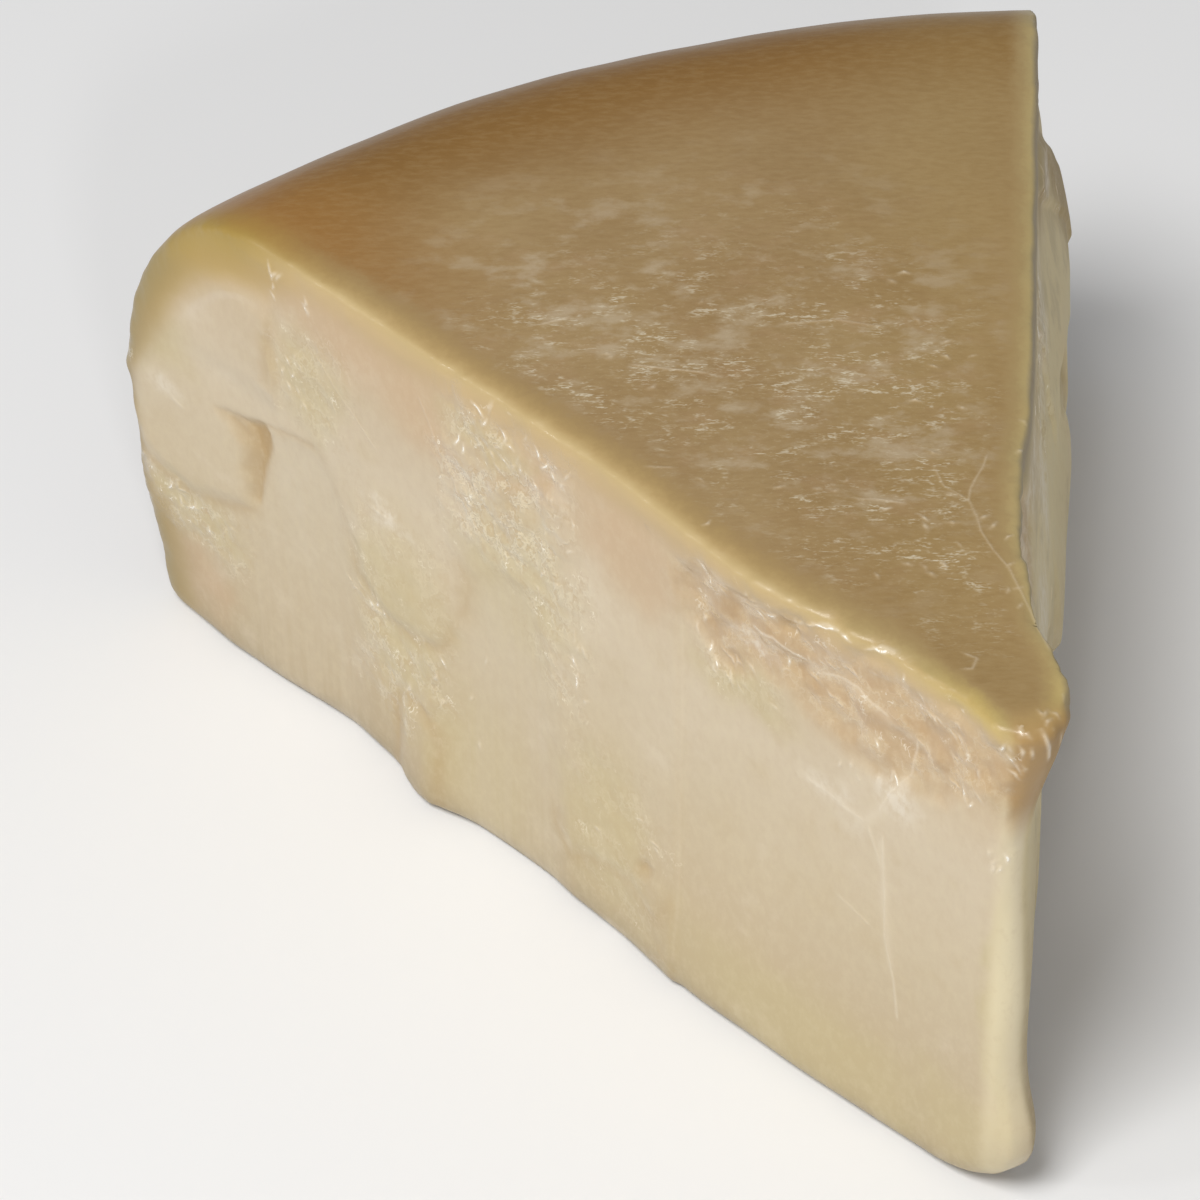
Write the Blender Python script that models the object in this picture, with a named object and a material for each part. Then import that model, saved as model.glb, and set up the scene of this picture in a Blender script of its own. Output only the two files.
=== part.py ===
"""A wedge of aged hard cheese with a brown rind, split from the upper half of a large wheel: one solid.

Metres, +Z up. The wedge stands on its lower cut face. Its thin end, the nose, points towards -Y, and its
heel, the rind of the wheel's side, towards +Y. The cut faces are on the left, -X, and on the right, +X.
"""

import math

import bmesh
import bpy
import numpy as np

# The wheel, and the wedge split from it. The nose stops short of the wheel's centre.
WHEEL_RADIUS = 0.220
LENGTH = 0.182
HEIGHT = 0.0973
WEDGE_ANGLE = math.radians(49.8)
CENTRE_GAP = WHEEL_RADIUS - LENGTH

# The wheel's side is barrel shaped: its shoulder curves from the flat top down to mid height.
SHOULDER_REACH = 0.0316
SHOULDER_DROP = 0.0515

# Soft edges all round. Towards the base the nose leans out and the left face turns in a little.
LEFT_TOP_ROUND = 0.0028
RIGHT_TOP_ROUND = 0.0010
BASE_ROUND = 0.0028
LEFT_HEEL_ROUND = 0.0035
RIGHT_HEEL_ROUND = 0.0014
NOSE_ROUND = 0.0034
NOSE_LEAN = (0.0011, -0.0040)
LEFT_FACE_TURN = math.radians(1.6)
# The nose's foot is much rounder: its radius grows by this much over this height.
TOE_ROUND = 0.0060
TOE_HEIGHT = 0.0160

# How finely the outline, the wall's levels and the top are divided.
FACE_STEPS = 40
HEEL_STEPS = 28
CORNER_STEPS = 4
BASE_STEPS = 3
WALL_STEPS = 10
SHOULDER_STEPS = 11
TOP_RINGS = 9

# The swells and hollows of a wedge split by hand, each a soft mound on the wall:
# (distance round the wedge from the nose, height, half width, half height, how far it stands out).
# The distance is + along the right face and - along the left one, and goes on round the heel.
NOSE_MOUNDS = [
    (0.010, 0.095, 0.013, 0.013, 0.0055),  # the lip of rind that flares to the right of the nose
    (0.020, 0.050, 0.020, 0.026, 0.0005),
    (0.004, 0.012, 0.007, 0.010, 0.0036),  # the heavy toe
]
RIGHT_MOUNDS = [
    (0.048, 0.097, 0.015, 0.014, -0.0018),  # the waist behind the flared lip
    (0.110, 0.048, 0.075, 0.028, 0.0050),  # the belly that stands out from under the rind
    (0.150, 0.058, 0.033, 0.016, 0.0028),
    (0.171, 0.074, 0.016, 0.013, -0.0028),
    (0.062, 0.010, 0.012, 0.034, -0.0012),  # two marks of the knife that split the wheel
    (0.128, 0.006, 0.012, 0.030, -0.0014),
]
LEFT_MOUNDS = [
    (-0.052, 0.097, 0.018, 0.013, 0.0028),  # the rind's lip, where the paste fell away below it
    (-0.055, 0.000, 0.030, 0.040, 0.0023),  # the swelling foot
    (-0.064, 0.000, 0.008, 0.020, 0.0004),
    (-0.102, 0.022, 0.010, 0.034, -0.0006),  # the nearer mark of the knife
    (-0.110, 0.000, 0.020, 0.030, 0.0012),
    (-0.1225, 0.003, 0.006, 0.014, 0.0022),  # the knob left between the two marks
    (-0.143, 0.006, 0.014, 0.034, -0.0012),  # the farther mark
    (-0.150, 0.000, 0.014, 0.016, 0.0006),
    (-0.165, 0.004, 0.012, 0.040, 0.0008),
    (-0.183, 0.064, 0.012, 0.020, 0.0017),  # the corner where the face meets the heel
    (-0.187, 0.054, 0.004, 0.004, 0.0010),
    (-0.189, 0.030, 0.010, 0.017, 0.0016),
]
HEEL_MOUNDS = [
    (0.235, 0.040, 0.030, 0.030, -0.0006),
    (-0.240, 0.030, 0.028, 0.026, 0.0005),
]
# The rises and dips of the rind on top: (x, y from the nose, half width, rise).
TOP_MOUNDS = [
    (-0.010, 0.110, 0.035, 0.0005),
    (0.018, 0.070, 0.022, -0.0004),
    (-0.012, 0.052, 0.016, 0.0004),
    (0.004, 0.020, 0.012, -0.0004),
    (0.034, 0.125, 0.022, 0.0004),
    (-0.040, 0.122, 0.020, -0.0004),
]
# The wall's upper part follows the top's rises and dips, down to this depth.
TOP_FOLLOW = 0.030

# The colour of the cut cheese, in linear values, and its smooth, slightly greasy surface.
PASTE_COLOUR = (0.66, 0.55, 0.37)
PASTE_ROUGHNESS = 0.35


def quarter_round(distance, radius):
    """How far a rounded edge has drawn in, at this distance from the flat that it turns into."""
    if distance >= radius:
        return 0.0
    return radius - math.sqrt(radius * radius - (radius - distance) ** 2)


def heel_radius(height):
    """The distance of the barrel shaped side from the wheel's centre at this height."""
    above = max(0.0, height - (HEIGHT - SHOULDER_DROP)) / SHOULDER_DROP
    shoulder = SHOULDER_REACH * (1.0 - math.sqrt(max(0.0, 1.0 - above * above)))
    return WHEEL_RADIUS - shoulder - quarter_round(height, BASE_ROUND)


def heading(angle):
    """The level direction at this angle from +Y, + towards +X."""
    return np.array([math.sin(angle), math.cos(angle)])


def rim_point(start, angle, radius):
    """Where the line from a start point at this angle meets the wheel's side."""
    direction = heading(angle)
    from_centre = start + np.array([0.0, CENTRE_GAP])
    along = direction @ from_centre
    reach = math.sqrt(along * along - from_centre @ from_centre + radius * radius) - along
    return start + direction * reach


def rim_tangent(point):
    """The anticlockwise direction along the wheel's side at this point."""
    arm = point + np.array([0.0, CENTRE_GAP])
    return np.array([-arm[1], arm[0]]) / np.linalg.norm(arm)


def corner_arc(before, corner, after, radius):
    """The arc that rounds off a corner, from the side of one neighbouring point to that of the other."""
    to_before = (before - corner) / np.linalg.norm(before - corner)
    to_after = (after - corner) / np.linalg.norm(after - corner)
    half = 0.5 * math.acos(to_before @ to_after)
    middle = (to_before + to_after) / np.linalg.norm(to_before + to_after)
    centre = corner + middle * radius / math.sin(half)
    first = corner + to_before * radius / math.tan(half) - centre
    last = corner + to_after * radius / math.tan(half) - centre
    sweep = math.pi - 2.0 * half
    points = []
    for step in range(CORNER_STEPS + 1):
        share = step / CORNER_STEPS
        blend = first * math.sin((1.0 - share) * sweep) + last * math.sin(share * sweep)
        points.append(centre + blend / math.sin(sweep))
    return points


def straight_run(first, last):
    """The points between the two ends of a cut face, without the ends."""
    return [first + (last - first) * step / FACE_STEPS for step in range(1, FACE_STEPS)]


def heel_run(first, last):
    """The points between the two ends of the heel, without the ends, on an arc about the wheel's centre."""
    centre = np.array([0.0, -CENTRE_GAP])
    first_arm = first - centre
    last_arm = last - centre
    first_angle = math.atan2(first_arm[0], first_arm[1])
    last_angle = math.atan2(last_arm[0], last_arm[1])
    points = []
    for step in range(1, HEEL_STEPS):
        share = step / HEEL_STEPS
        radius = (1.0 - share) * np.linalg.norm(first_arm) + share * np.linalg.norm(last_arm)
        points.append(centre + radius * heading((1.0 - share) * first_angle + share * last_angle))
    return points


def outline(height):
    """The wedge's level section, anticlockwise from the left of the nose, and its sharp nose."""
    share = 1.0 - height / HEIGHT
    right_angle = WEDGE_ANGLE / 2.0
    left_angle = LEFT_FACE_TURN * share - WEDGE_ANGLE / 2.0
    # Where the faces draw in at a soft edge, the line that they meet on moves back.
    base_inset = quarter_round(height, BASE_ROUND)
    left_inset = quarter_round(HEIGHT - height, LEFT_TOP_ROUND) + base_inset
    right_inset = quarter_round(HEIGHT - height, RIGHT_TOP_ROUND) + base_inset
    opening = math.sin(right_angle - left_angle)
    set_back = (left_inset * heading(right_angle) + right_inset * heading(left_angle)) / opening
    nose = np.array(NOSE_LEAN) * share + set_back
    radius = heel_radius(height)
    right_rim = rim_point(nose, right_angle, radius)
    left_rim = rim_point(nose, left_angle, radius)
    nose_round = NOSE_ROUND + TOE_ROUND * quarter_round(height, TOE_HEIGHT) / TOE_HEIGHT
    nose_arc = corner_arc(left_rim, nose, right_rim, nose_round)
    right_arc = corner_arc(nose, right_rim, right_rim + rim_tangent(right_rim), RIGHT_HEEL_ROUND)
    left_arc = corner_arc(left_rim - rim_tangent(left_rim), left_rim, nose, LEFT_HEEL_ROUND)
    right_face = straight_run(nose_arc[-1], right_arc[0])
    heel = heel_run(right_arc[-1], left_arc[0])
    left_face = straight_run(left_arc[-1], nose_arc[0])
    return np.array(nose_arc + right_face + right_arc + heel + left_arc + left_face), nose


def distance_round(points, nose):
    """How far each outline point is from the sharp nose, + to the right and - to the left."""
    face_start = np.linalg.norm(points[CORNER_STEPS] - nose)
    steps = np.linalg.norm(np.roll(points, -1, axis=0) - points, axis=1)
    walked = face_start + np.concatenate([[0.0], np.cumsum(steps)[:-1]]) - steps[:CORNER_STEPS].sum()
    whole = 2.0 * face_start + steps[CORNER_STEPS:].sum()
    around = np.where(walked > whole / 2.0, walked - whole, walked)
    around[: CORNER_STEPS + 1] = np.linspace(-face_start, face_start, CORNER_STEPS + 1)
    return around


def outward(points):
    """The level direction out of the wedge at each outline point."""
    chord = np.roll(points, -1, axis=0) - np.roll(points, 1, axis=0)
    normal = np.stack([chord[:, 1], -chord[:, 0]], axis=1)
    return normal / np.linalg.norm(normal, axis=1)[:, None]


def uneven_outline(height):
    """The outline at this height with the wall's mounds added."""
    points, nose = outline(height)
    around = distance_round(points, nose)
    rise = np.zeros(len(points))
    mounds = NOSE_MOUNDS + RIGHT_MOUNDS + LEFT_MOUNDS + HEEL_MOUNDS
    for centre, level, half_width, half_height, amount in mounds:
        spread = ((around - centre) / half_width) ** 2 + ((height - level) / half_height) ** 2
        rise += amount * np.exp(-spread)
    return points + outward(points) * rise[:, None]


def top_rise(points):
    """How far the rind on top rises above its level at each plan point."""
    rise = np.zeros(len(points))
    for x, y, half_width, amount in TOP_MOUNDS:
        gap = np.linalg.norm(points - np.array([x, y]), axis=1)
        rise += amount * np.exp(-((gap / half_width) ** 2))
    return rise


def levels():
    """The heights of the wall's rings, from the base to the top, closer together on the curves."""
    heights = []
    for step in range(BASE_STEPS):
        heights.append(BASE_ROUND * (1.0 - math.cos(0.5 * math.pi * step / BASE_STEPS)))
    shoulder_start = HEIGHT - SHOULDER_DROP
    for step in range(WALL_STEPS):
        heights.append(BASE_ROUND + (shoulder_start - BASE_ROUND) * step / WALL_STEPS)
    for step in range(SHOULDER_STEPS + 1):
        heights.append(shoulder_start + SHOULDER_DROP * math.sin(0.5 * math.pi * step / SHOULDER_STEPS))
    return heights


def wall_rings():
    """The rings of the wall from the base to the top, as 3-D points."""
    rings = []
    for height in levels():
        points = uneven_outline(height)
        follow = max(0.0, 1.0 - (HEIGHT - height) / TOP_FOLLOW)
        lift = top_rise(points) * follow * follow * (3.0 - 2.0 * follow)
        rings.append(np.column_stack([points, height + lift]))
    return rings


def top_rings(rim):
    """The rings that shrink from the top's edge towards its middle, and the middle point."""
    centre = rim[:, :2].mean(axis=0)
    rings = []
    for step in range(1, TOP_RINGS):
        points = centre + (rim[:, :2] - centre) * (1.0 - step / TOP_RINGS)
        rings.append(np.column_stack([points, HEIGHT + top_rise(points)]))
    middle = np.append(centre, HEIGHT + top_rise(centre[None, :])[0])
    return rings, middle


def wedge_mesh():
    """The closed surface: a flat base, the wall's rings, and the top's rings meeting at its middle."""
    wall = wall_rings()
    top, middle = top_rings(wall[-1])
    rings = wall + top
    shape = bmesh.new()
    loops = [[shape.verts.new(point) for point in ring] for ring in rings]
    shape.faces.new(list(reversed(loops[0])))
    for lower, upper in zip(loops, loops[1:]):
        for here in range(len(lower)):
            after = (here + 1) % len(lower)
            shape.faces.new([lower[here], lower[after], upper[after], upper[here]])
    centre = shape.verts.new(middle)
    for here in range(len(loops[-1])):
        after = (here + 1) % len(loops[-1])
        shape.faces.new([loops[-1][here], loops[-1][after], centre])
    return shape


def stand_at_origin(shape):
    """Moves the wedge so that the middle of its box in plan, at the base, is the origin."""
    points = np.array([vertex.co for vertex in shape.verts])
    middle = (points.min(axis=0) + points.max(axis=0)) / 2.0
    bmesh.ops.translate(shape, verts=shape.verts, vec=(-middle[0], -middle[1], -points[:, 2].min()))


def paste_material():
    """Pale straw coloured cheese."""
    material = bpy.data.materials.new("cheese_paste")
    material.use_nodes = True
    shader = material.node_tree.nodes["Principled BSDF"]
    shader.inputs["Base Color"].default_value = (*PASTE_COLOUR, 1.0)
    shader.inputs["Roughness"].default_value = PASTE_ROUGHNESS
    shader.inputs["Metallic"].default_value = 0.0
    return material


def build_wedge():
    """The one solid of the part."""
    shape = wedge_mesh()
    stand_at_origin(shape)
    mesh = bpy.data.meshes.new("cheese_wedge")
    shape.to_mesh(mesh)
    shape.free()
    mesh.shade_smooth()
    mesh.materials.append(paste_material())
    wedge = bpy.data.objects.new("cheese_wedge", mesh)
    bpy.context.scene.collection.objects.link(wedge)


for old in list(bpy.data.objects):
    bpy.data.objects.remove(old)
build_wedge()
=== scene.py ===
"""The looks of a wedge of aged hard cheese, vacuum packed in a clear film that clings to it like a skin."""

import math
import random

import bmesh
import bpy
import numpy as np
from mathutils import Matrix, Vector, kdtree, noise


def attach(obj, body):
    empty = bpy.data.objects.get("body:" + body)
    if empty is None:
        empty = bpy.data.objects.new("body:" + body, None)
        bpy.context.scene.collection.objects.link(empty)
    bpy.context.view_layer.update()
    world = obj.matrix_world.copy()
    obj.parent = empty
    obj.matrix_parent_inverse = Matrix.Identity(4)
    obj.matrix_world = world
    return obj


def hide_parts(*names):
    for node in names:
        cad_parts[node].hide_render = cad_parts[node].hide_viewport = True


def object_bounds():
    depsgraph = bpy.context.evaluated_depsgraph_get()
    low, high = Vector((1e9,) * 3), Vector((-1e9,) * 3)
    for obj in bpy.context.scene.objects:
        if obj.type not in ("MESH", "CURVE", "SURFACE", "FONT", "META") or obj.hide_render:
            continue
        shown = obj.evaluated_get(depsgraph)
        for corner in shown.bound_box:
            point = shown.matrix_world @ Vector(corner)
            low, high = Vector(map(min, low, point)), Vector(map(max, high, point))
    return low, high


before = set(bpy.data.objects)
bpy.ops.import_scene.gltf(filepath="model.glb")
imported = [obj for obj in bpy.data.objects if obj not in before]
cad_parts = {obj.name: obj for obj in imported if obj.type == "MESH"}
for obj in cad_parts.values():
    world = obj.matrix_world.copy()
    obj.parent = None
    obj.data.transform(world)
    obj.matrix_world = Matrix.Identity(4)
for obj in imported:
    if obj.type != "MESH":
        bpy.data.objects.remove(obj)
cad_low, cad_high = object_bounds()


# ---------------------------------------------------------------------------------------------------------
# The wedge: one piece of cheese, cut and split by hand from the upper half of a wheel. Its rind covers the
# top and the heel, and its two sides are split paste. This section gives the frame's solid a finer skin.
# ---------------------------------------------------------------------------------------------------------
MM = 0.001
SKIN_STEP = 0.62 * MM
SKIN_EASING = 9
FLATS_EASING = 45
FLATS_FACING = (0.80, 0.93)
BELOW_BASE = -5.0
WHEEL_RADIUS = 220.0
SHOULDER_REACH = 31.6
SHOULDER_DROP = 51.5
HALF_ANGLE = math.radians(24.9)
SHOULDER_STEPS = 25
TOP_UNEVENNESS = 0.5
NOSE_OFF_MIDDLE = -2.16
NOSE_FROM_FRONT = 1.06


def ramp(value, low, high):
    """A smooth step from 0 at low to 1 at high, or falling where high is the smaller."""
    share = np.clip((value - low) / (high - low), 0.0, 1.0)
    return share * share * (3.0 - 2.0 * share)


def points_and_normals(mesh):
    """The mesh's points in millimetres, and its normals."""
    points = np.empty(len(mesh.vertices) * 3)
    mesh.vertices.foreach_get("co", points)
    normals = np.empty(len(mesh.vertices) * 3)
    mesh.vertex_normals.foreach_get("vector", normals)
    return points.reshape(-1, 3) / MM, normals.reshape(-1, 3)


def work_in(piece, name, kind, **settings):
    """Adds one modifier to the piece and works it into the mesh at once."""
    modifier = piece.modifiers.new(name, kind)
    for setting, value in settings.items():
        setattr(modifier, setting, value)
    bpy.context.view_layer.update()
    shaped = bpy.data.meshes.new_from_object(piece.evaluated_get(bpy.context.evaluated_depsgraph_get()))
    piece.modifiers.clear()
    spare = piece.data
    piece.data = shaped
    bpy.data.meshes.remove(spare)


def beside(u, v, line):
    """How far each point lies from a line of several stretches."""
    gap = np.full(u.shape, np.inf)
    for (u1, v1), (u2, v2) in zip(line, line[1:]):
        du, dv = u2 - u1, v2 - v1
        along = np.clip(((u - u1) * du + (v - v1) * dv) / (du * du + dv * dv), 0.0, 1.0)
        gap = np.minimum(gap, np.hypot(u - u1 - along * du, v - v1 - along * dv))
    return gap


# Places on the wedge, in millimetres: the nose where the sides meet, the wheel's middle, and the two sides.
nose = np.array([NOSE_OFF_MIDDLE, cad_low[1] / MM + NOSE_FROM_FRONT])
wheel_middle = np.array([NOSE_OFF_MIDDLE, cad_high[1] / MM - WHEEL_RADIUS])
flat_top = cad_high[2] / MM - TOP_UNEVENNESS
left_run = np.array([-math.sin(HALF_ANGLE), math.cos(HALF_ANGLE)])
left_out = np.array([-math.cos(HALF_ANGLE), -math.sin(HALF_ANGLE)])
right_run = np.array([math.sin(HALF_ANGLE), math.cos(HALF_ANGLE)])
right_out = np.array([math.cos(HALF_ANGLE), -math.sin(HALF_ANGLE)])
turns = np.linspace(0.0, math.pi / 2, SHOULDER_STEPS)
shoulder = [
    (WHEEL_RADIUS - SHOULDER_REACH * (1 - math.sin(turn)), flat_top - SHOULDER_DROP * (1 - math.cos(turn)))
    for turn in turns
]
wheel_profile = [(0.0, flat_top)] + shoulder + [(WHEEL_RADIUS, BELOW_BASE)]


def wheel_facing(points, normals):
    """How squarely each point faces out of the wheel, and how far out from the wheel's middle it is."""
    across = points[:, :2] - wheel_middle
    radius = np.hypot(across[:, 0], across[:, 1])
    out = np.clip((radius - WHEEL_RADIUS + SHOULDER_REACH) / SHOULDER_REACH, 0.0, 1.0) / SHOULDER_REACH
    up = np.clip((points[:, 2] - flat_top + SHOULDER_DROP) / SHOULDER_DROP, 0.0, 1.0) / SHOULDER_DROP
    turned_out = (normals[:, :2] * across).sum(axis=1) / (radius + 1e-9)
    return (turned_out * out + normals[:, 2] * up) / (np.hypot(out, up) + 1e-9), radius


wedge = bpy.data.objects.new("cheese_wedge_in_film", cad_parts["cheese_wedge"].data.copy())
bpy.context.scene.collection.objects.link(wedge)
wedge.data.materials.clear()
work_in(wedge, "skin", "REMESH", mode="VOXEL", voxel_size=SKIN_STEP)
work_in(wedge, "easing", "SMOOTH", factor=0.5, iterations=SKIN_EASING)
points, normals = points_and_normals(wedge.data)
squarely = np.max([normals[:, :2] @ left_out, normals[:, :2] @ right_out, -normals[:, 2],
                   wheel_facing(points, normals)[0]], axis=0)
flats = wedge.vertex_groups.new(name="flats")
for index, share in enumerate(ramp(squarely, *FLATS_FACING).tolist()):
    flats.add([index], share, "REPLACE")
work_in(wedge, "flats", "SMOOTH", factor=0.5, iterations=FLATS_EASING, vertex_group="flats")
wedge.vertex_groups.clear()
points, normals = points_and_normals(wedge.data)


# ---------------------------------------------------------------------------------------------------------
# The split sides: each was opened with a short knife pushed in and twisted. That leaves smooth scooped marks
# where the blade lay, swollen lobes with a crisp lower edge between them, and rough grains where it tore.
# ---------------------------------------------------------------------------------------------------------
SIDE_FACING = (0.35, 0.8)
RIND_FACING = 0.68
RIND_THICKNESS = 7.0
DEEPEST_RIND = 16.0
RIND_EDGE_ROUNDS = 8
SETTLING = 2
height = points[:, 2]
along_left = (points[:, :2] - nose) @ left_run
along_right = (points[:, :2] - nose) @ right_run
faces_left = ramp(normals[:, :2] @ left_out, *SIDE_FACING)
faces_right = ramp(normals[:, :2] @ right_out, *SIDE_FACING)
faces_down = ramp(normals[:, 2], -0.55, -0.9)
facing_wheel, from_middle = wheel_facing(points, normals)
below_wheel = beside(from_middle, height, wheel_profile)

# How deep each point of a cut side lies under the rind, or on the rind, less than 0: how far from the cut.
on_rind = (facing_wheel > RIND_FACING) & (below_wheel < RIND_THICKNESS)
rind_points = kdtree.KDTree(int(on_rind.sum()))
cut_points = kdtree.KDTree(int((~on_rind).sum()))
for index, (point, is_rind) in enumerate(zip(points.tolist(), on_rind.tolist())):
    (rind_points if is_rind else cut_points).insert(point, index)
rind_points.balance()
cut_points.balance()
close = (below_wheel < DEEPEST_RIND) | on_rind
rind_edge = np.full(len(points), DEEPEST_RIND)
rind_edge[close] = [
    -cut_points.find(point)[2] if is_rind else rind_points.find(point)[2]
    for point, is_rind in zip(points[close].tolist(), on_rind[close].tolist())
]


def evened(mesh, values, rounds):
    """The values averaged with their neighbours' along the mesh's edges."""
    ends = np.empty(len(mesh.edges) * 2, np.int64)
    mesh.edges.foreach_get("vertices", ends)
    first, second = ends.reshape(-1, 2).T
    size = len(values)
    neighbours = np.bincount(first, minlength=size) + np.bincount(second, minlength=size)
    for _ in range(rounds):
        total = np.bincount(first, values[second], size) + np.bincount(second, values[first], size)
        values = 0.5 * values + 0.5 * total / np.maximum(neighbours, 1)
    return values


rind_edge = evened(wedge.data, rind_edge, RIND_EDGE_ROUNDS)


def clouds(points, size, octaves, seed):
    """Cloudy noise from about -1 to 1 at each point, in lumps about size millimetres across."""
    spot = Vector((seed * 17.3, seed * 5.1, seed * 9.7))
    return np.array([noise.fractal(Vector(p) + spot, 1.0, 2.1, octaves) for p in (points / size).tolist()])


def folds(points, size, octaves, seed):
    """Noise of thin crests, from 0 between them to 1 on them."""
    spot = Vector((seed * 11.9, seed * 3.7, seed * 7.3))
    field = [noise.fractal(Vector(p) + spot, 0.9, 2.1, octaves) for p in (points / size).tolist()]
    return np.clip(1.0 - 3.2 * np.abs(np.array(field)), 0.0, 1.0) ** 1.5


def inside(u, v, corners):
    """How far each point lies inside a closed outline, in millimetres; below 0 outside it."""
    within = np.zeros(u.shape, bool)
    for (u1, v1), (u2, v2) in zip(corners, corners[1:] + corners[:1]):
        if v1 != v2:
            within ^= ((v1 > v) != (v2 > v)) & (u < (u2 - u1) * (v - v1) / (v2 - v1) + u1)
    gap = beside(u, v, corners + corners[:1])
    return np.where(within, gap, -gap)


def round_spots(u, v, spots):
    """1 at the middle of each soft round spot, falling to 0 at its half sizes."""
    share = np.zeros(u.shape)
    for middle_u, middle_v, half_u, half_v in spots:
        reach = np.hypot((u - middle_u) / half_u, (v - middle_v) / half_v)
        share = np.maximum(share, ramp(reach, 1.05, 0.25))
    return share


# Every outline is in millimetres along the side from the nose, and up from the base.
# Marks: depth, the height of the blade's round end, outline. Lobes: rise, edge, heights between which it
# fades upwards, outline. Dents: depth, edge, how much brown shade is painted in them, outline. Steps:
# place, edge, lowest, highest, rise, reach. Torn: amount, edge, outline. Wet: edge, outline. Blush, sallow
# and pale: round spots of pinker and yellower paste, and whiter spots painted as the film's sheen, each
# with its middle and half sizes.
LEFT_SIDE = {
    "marks": [
        (0.5, 60, [(165, -5), (164, 12), (162, 25), (159, 34), (156.5, 41), (154.5, 49), (152.5, 57),
                   (148, 60), (142, 60.5), (138.5, 56.5), (137, 50), (136.5, 40), (136.5, 20), (136, -5)]),
        (0.6, 61, [(114, -5), (113, 20), (112, 37), (110, 49), (107, 57.5), (102, 61.5), (97, 60.5),
                   (94.5, 56), (93, 49), (92, 37), (91, 20), (90.5, -5)]),
    ],
    "lobes": [
        (0.8, 3.4, 38, 66, [(158.5, 38), (166, 34.5), (172, 33), (178, 34.5), (183, 38), (187, 46),
                            (189, 55), (186, 66), (175, 72), (166, 70), (157, 64), (156.5, 50)]),
        (0.9, 3.4, 42, 66, [(113.5, 48), (114, 40), (117, 36), (123, 34.6), (129, 36), (133.5, 40),
                            (135.5, 48), (135, 58), (130, 68), (121, 70), (114, 64)]),
        (0.5, 2.2, 90, 97, [(117, -5), (117, 16), (120.5, 19.5), (124.5, 19), (126.5, 12), (127, 4),
                            (126, -5)]),
        (0.4, 3.0, 16, 30, [(88, 11), (84, 14), (79, 15.5), (74, 15.5), (69, 12.5), (66, 18), (68, 28),
                            (80, 32), (90, 26), (92, 16)]),
    ],
    "dents": [
        (0.45, 3.4, 0.70, [(163.5, 56), (158.5, 57.6), (153.6, 58.6), (152.8, 57), (153.4, 52), (155, 46),
                           (156.6, 40.5), (158, 40), (158.6, 46), (158.6, 51), (161, 54)]),
        (0.60, 1.5, 1.0, [(158.8, 57.2), (154.2, 58.6), (152.9, 57.2), (153.4, 52), (154.9, 46),
                          (156.6, 40.4), (157.4, 41), (156.4, 46), (156.0, 51), (157.4, 55.4)]),
        (0.30, 1.2, 0.5, [(164, 56.4), (158, 57.8), (153, 59.6), (148, 60.8), (143, 61.4), (143, 60.4),
                          (148, 59.8), (153, 58.4), (158, 56.8), (164, 55.6)]),
        (0.30, 1.8, 0.5, [(162, 56.4), (158.6, 57), (158, 53.4), (161, 53)]),
        (0.35, 2.6, 0.5, [(151.8, 80), (149.8, 80), (149.8, 74), (151, 68.5), (152.8, 69), (151.8, 75)]),
        (0.35, 2.6, 0.45, [(100.5, 83), (98.5, 83), (98.8, 76), (101, 70), (102.5, 70), (101, 76)]),
        (0.4, 2.0, 0.6, [(127.3, 19), (125.6, 19), (126.4, 12), (127.6, 9), (128.6, 12)]),
        (0.5, 1.6, 0.5, [(71.5, 23), (69, 22), (70, 20), (73, 19.5), (73.5, 21)]),
        (0.4, 3.5, 0.4, [(112, 58), (108.5, 56), (109, 47), (112, 45)]),
        (0.9, 1.0, 0.7, [(44.5, 93), (41.5, 93), (41.5, 90.5), (44.5, 90.5)]),
    ],
    "steps": [(150.0, 1.4, 63, 89, 0.9, 14.0), (64.5, 2.6, -5, 92, 0.6, 12.0)],
    "torn": [
        (1.0, 4.5, [(87, 94), (112, 95), (114, 84), (113, 68), (106, 62), (96, 63), (86, 76)]),
        (0.7, 5.0, [(84, 80), (112, 74), (113, 62), (98, 61), (92, 42), (86, 42)]),
        (0.35, 6.0, [(113, 60), (136, 62), (137, 38), (113, 38)]),
        (0.75, 4.0, [(113, 36), (136, 36), (136, 18), (129, 12), (115, 16)]),
        (0.85, 3.5, [(160, 34), (172, 32), (187, 37), (190, 48), (189, 30), (180, 20), (163, 20)]),
        (0.5, 5.0, [(134, 86), (149.5, 84), (149.5, 66), (140, 62), (134, 66)]),
        (0.3, 6.0, [(66, 40), (90, 42), (90, 4), (66, 4)]),
        (0.5, 4.5, [(42, 78), (62, 80), (62, 68), (44, 70)]),
        (0.6, 3.0, [(183, 62), (192, 62), (192, 46), (186, 46)]),
    ],
    "wet": [
        (5.0, [(-6, 95), (62, 96), (65, 88), (63, 80), (54, 75), (44, 77), (34, 74), (26, 71), (18, 76),
               (8, 79), (-6, 84)]),
    ],
    "blush": [(75, 85, 14, 13), (98, 88, 17, 10), (30, 86, 36, 12), (130, 90, 24, 9),
              (173, 13, 12, 10), (52, 84, 14, 11), (118, 86, 12, 12)],
    "sallow": [(99, 62, 17, 24), (124, 36, 14, 30), (172, 28, 14, 10), (142, 74, 10, 15), (52, 72, 14, 8),
               (1, 40, 4, 60), (8, 12, 14, 14), (80, 22, 14, 26), (107, 14, 16, 24), (186, 18, 8, 20),
               (38, 10, 40, 16), (178, 66, 12, 14), (124, 24, 12, 12), (104, 88, 12, 9)],
    "pale": [(22, 70, 4, 6), (34, 62, 8, 2.5), (127, 57.5, 6, 2.5), (174, 52.4, 5, 2.5), (50, 82, 6, 3)],
}
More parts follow.
